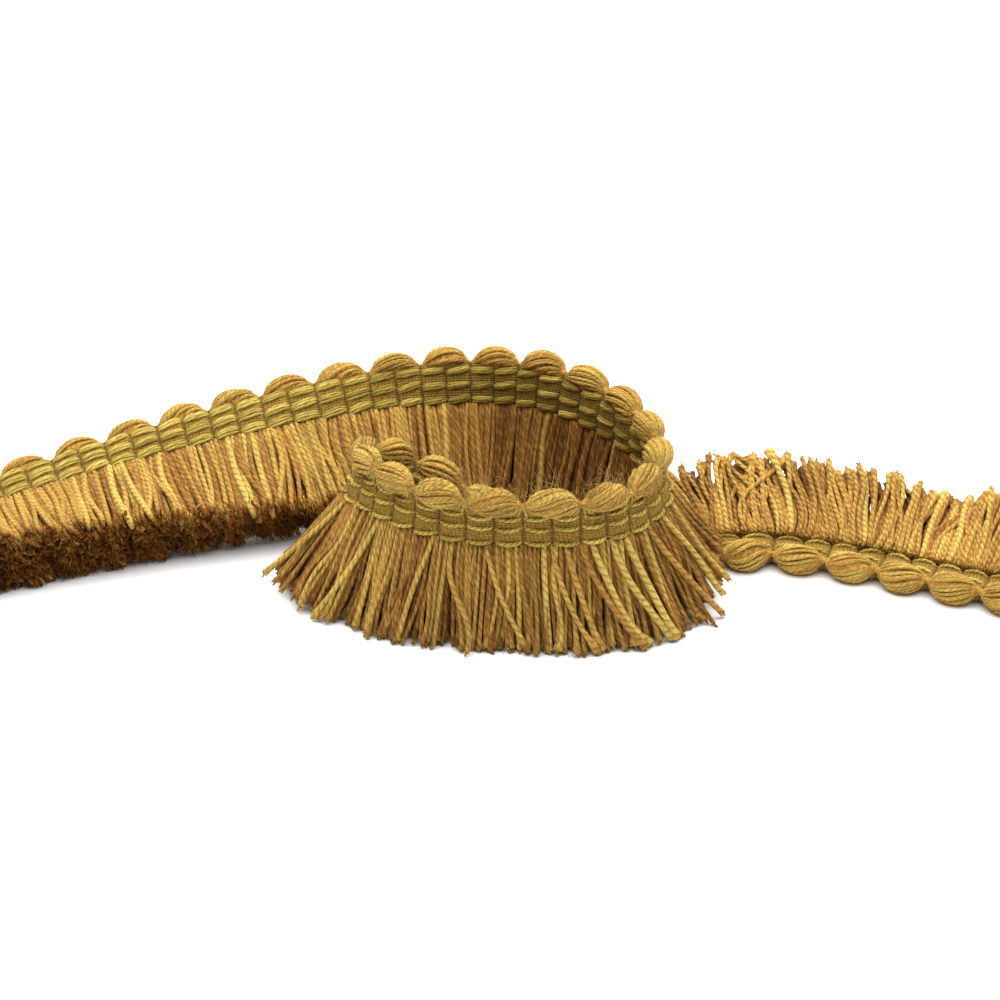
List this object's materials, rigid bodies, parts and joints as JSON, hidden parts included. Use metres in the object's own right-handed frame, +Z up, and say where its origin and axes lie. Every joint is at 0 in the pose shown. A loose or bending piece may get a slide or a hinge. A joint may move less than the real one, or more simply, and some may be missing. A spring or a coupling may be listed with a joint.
{
  "type": "cut fringe trim",
  "caption": "Cut length of brush fringe trim with a scalloped gimp edge, a narrow woven heading and thick cut yarns, lying in one loose coil.",
  "frame": {"origin": "centre of the bounding box's bottom, on the surface that the trim lies on", "axes": "+Z up, +X along the trim from its left cut end to its right one, +Y away from the viewer of the coil"},
  "size_m": [0.2745, 0.087, 0.0396],
  "materials": {
    "woven_band": "matte woven yarn",
    "gimp_cord": "matte twisted yarn",
    "fringe_yarn": "matte cut yarn"
  },
  "bodies": {
    "root": {"heading_band": "woven_band", "scallop_edge": "gimp_cord", "fringe_01": "fringe_yarn", "fringe_02": "fringe_yarn", "fringe_03": "fringe_yarn", "fringe_04": "fringe_yarn", "fringe_05": "fringe_yarn", "fringe_06": "fringe_yarn", "fringe_07": "fringe_yarn", "fringe_08": "fringe_yarn", "fringe_09": "fringe_yarn", "fringe_10": "fringe_yarn", "fringe_11": "fringe_yarn", "fringe_12": "fringe_yarn", "fringe_13": "fringe_yarn", "fringe_14": "fringe_yarn", "fringe_15": "fringe_yarn", "fringe_16": "fringe_yarn"}
  },
  "joints": []
}
